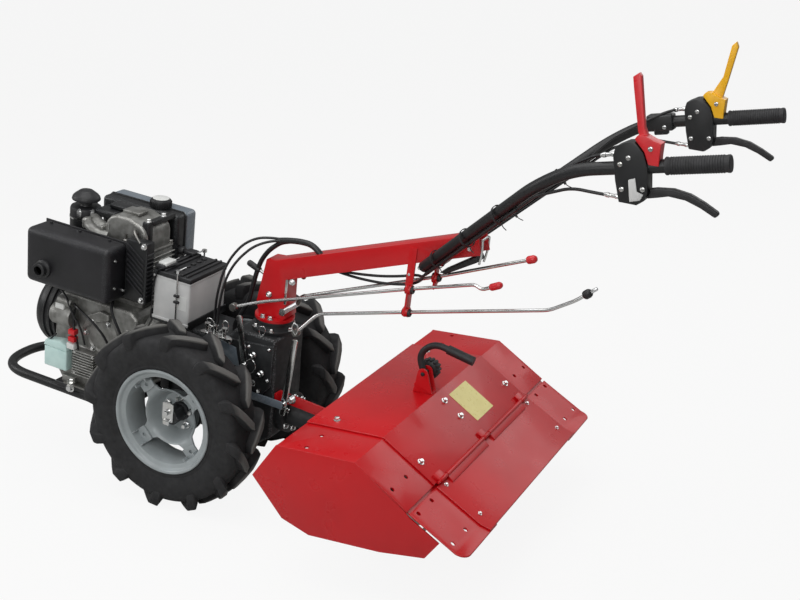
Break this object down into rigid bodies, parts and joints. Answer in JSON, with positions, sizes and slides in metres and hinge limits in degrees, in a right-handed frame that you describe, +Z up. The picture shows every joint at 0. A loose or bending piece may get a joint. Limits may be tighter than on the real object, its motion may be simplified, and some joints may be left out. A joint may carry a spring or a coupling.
{
  "type": "walking tractor with rear tiller",
  "caption": "Two-wheeled walking tractor with a single-cylinder engine, long adjustable handlebar and a hooded rear tiller; wheels, rotor, flap and handlebar move.",
  "frame": {"origin": "on the ground, under the middle of the length and width", "axes": "-Y is the direction of travel, engine first; +Y points back to the operator; +X is the machine's left side; +Z is up"},
  "size_m": [0.88, 2.1443, 1.2538],
  "materials": {
    "red_paint": "gloss",
    "black_paint": "satin",
    "cast_black": "painted casting",
    "cast_aluminium": "as cast",
    "wheel_grey": "satin",
    "tyre": "moulded",
    "grip_rubber": "moulded",
    "chrome": "polished",
    "steel": "bare",
    "black_plastic": "moulded",
    "battery_case": "moulded",
    "tank_paint": "satin",
    "mint_plastic": "moulded",
    "red_plastic": "moulded",
    "yellow_plastic": "moulded",
    "cable_cover": "extruded"
  },
  "bodies": {
    "root": {"air_filter": "black_plastic", "axle_housing_left": "cast_black", "axle_housing_right": "cast_black", "battery": "battery_case", "battery_lid": "black_plastic", "battery_tray": "black_paint", "clutch_housing": "cast_aluminium", "column_base": "cast_black", "crankcase": "cast_aluminium", "cylinder_block": "cast_aluminium", "cylinder_shroud": "black_paint", "depth_bracket": "red_paint", "depth_handle": "black_plastic", "depth_skid": "black_paint", "engine_frame": "black_paint", "fan_housing": "cast_aluminium", "flap_hinge_rod": "red_paint", "fuel_cap": "black_plastic", "fuel_tank": "tank_paint", "gear_lever_front": "chrome", "gear_lever_rear": "chrome", "gearbox_housing": "cast_black", "hitch_arm": "red_paint", "hood_plate": "red_paint", "hood_wing_left": "red_paint", "hood_wing_right": "red_paint", "muffler": "black_paint", "regulator_box": "mint_plastic", "rocker_cover": "cast_aluminium", "tiller_gear_case": "cast_black"},
    "wheel_left": {"tyre_left": "tyre", "rim_left": "wheel_grey", "wheel_hub_left": "cast_black"},
    "wheel_right": {"tyre_right": "tyre", "rim_right": "wheel_grey", "wheel_hub_right": "cast_black"},
    "column": {"handlebar_column": "red_paint", "gear_rod_low": "chrome", "gear_rod_high": "chrome", "gear_rod_inner": "chrome", "rod_knob_low": "black_plastic", "rod_knob_high": "red_plastic", "rod_knob_inner": "red_plastic", "cable_loop": "cable_cover", "cables_under_beam": "cable_cover"},
    "handlebar": {"handlebar": "black_paint", "grip_left": "grip_rubber", "grip_right": "grip_rubber", "lever_housing_left": "black_paint", "lever_housing_right": "black_paint", "hand_lever_left": "black_plastic", "hand_lever_right": "black_plastic", "red_lever": "red_plastic", "yellow_lever": "yellow_plastic", "bar_cable_left": "cable_cover", "bar_cable_right": "cable_cover"},
    "tiller_rotor": {"tiller_rotor": "steel"},
    "rear_flap": {"rear_flap": "red_paint", "flap_wing_left": "red_paint", "flap_wing_right": "red_paint"}
  },
  "joints": [
    {"name": "wheel_left_spin", "type": "hinge", "parent": "root", "child": "wheel_left", "pos_m": [0.221, -0.35, 0.256], "axis": [1, 0, 0], "continuous": true},
    {"name": "wheel_right_spin", "type": "hinge", "parent": "root", "child": "wheel_right", "pos_m": [-0.221, -0.35, 0.256], "axis": [1, 0, 0], "continuous": true},
    {"name": "column_swivel", "type": "hinge", "parent": "root", "child": "column", "pos_m": [0, -0.16047, 0.49487], "axis": [0, 0.1333, 0.9911], "range_deg": [-20, 20], "deforming": ["cable_loop"]},
    {"name": "handlebar_height", "type": "hinge", "parent": "column", "child": "handlebar", "pos_m": [0, 0.34071, 0.74025], "axis": [1, 0, 0], "range_deg": [-12, 18], "deforming": ["cables_under_beam"]},
    {"name": "tiller_rotor_spin", "type": "hinge", "parent": "root", "child": "tiller_rotor", "pos_m": [0, 0.29, 0.181], "axis": [1, 0, 0], "continuous": true},
    {"name": "rear_flap_hinge", "type": "hinge", "parent": "root", "child": "rear_flap", "pos_m": [0, 0.45774, 0.26902], "axis": [1, 0, 0], "range_deg": [0, 70]}
  ]
}
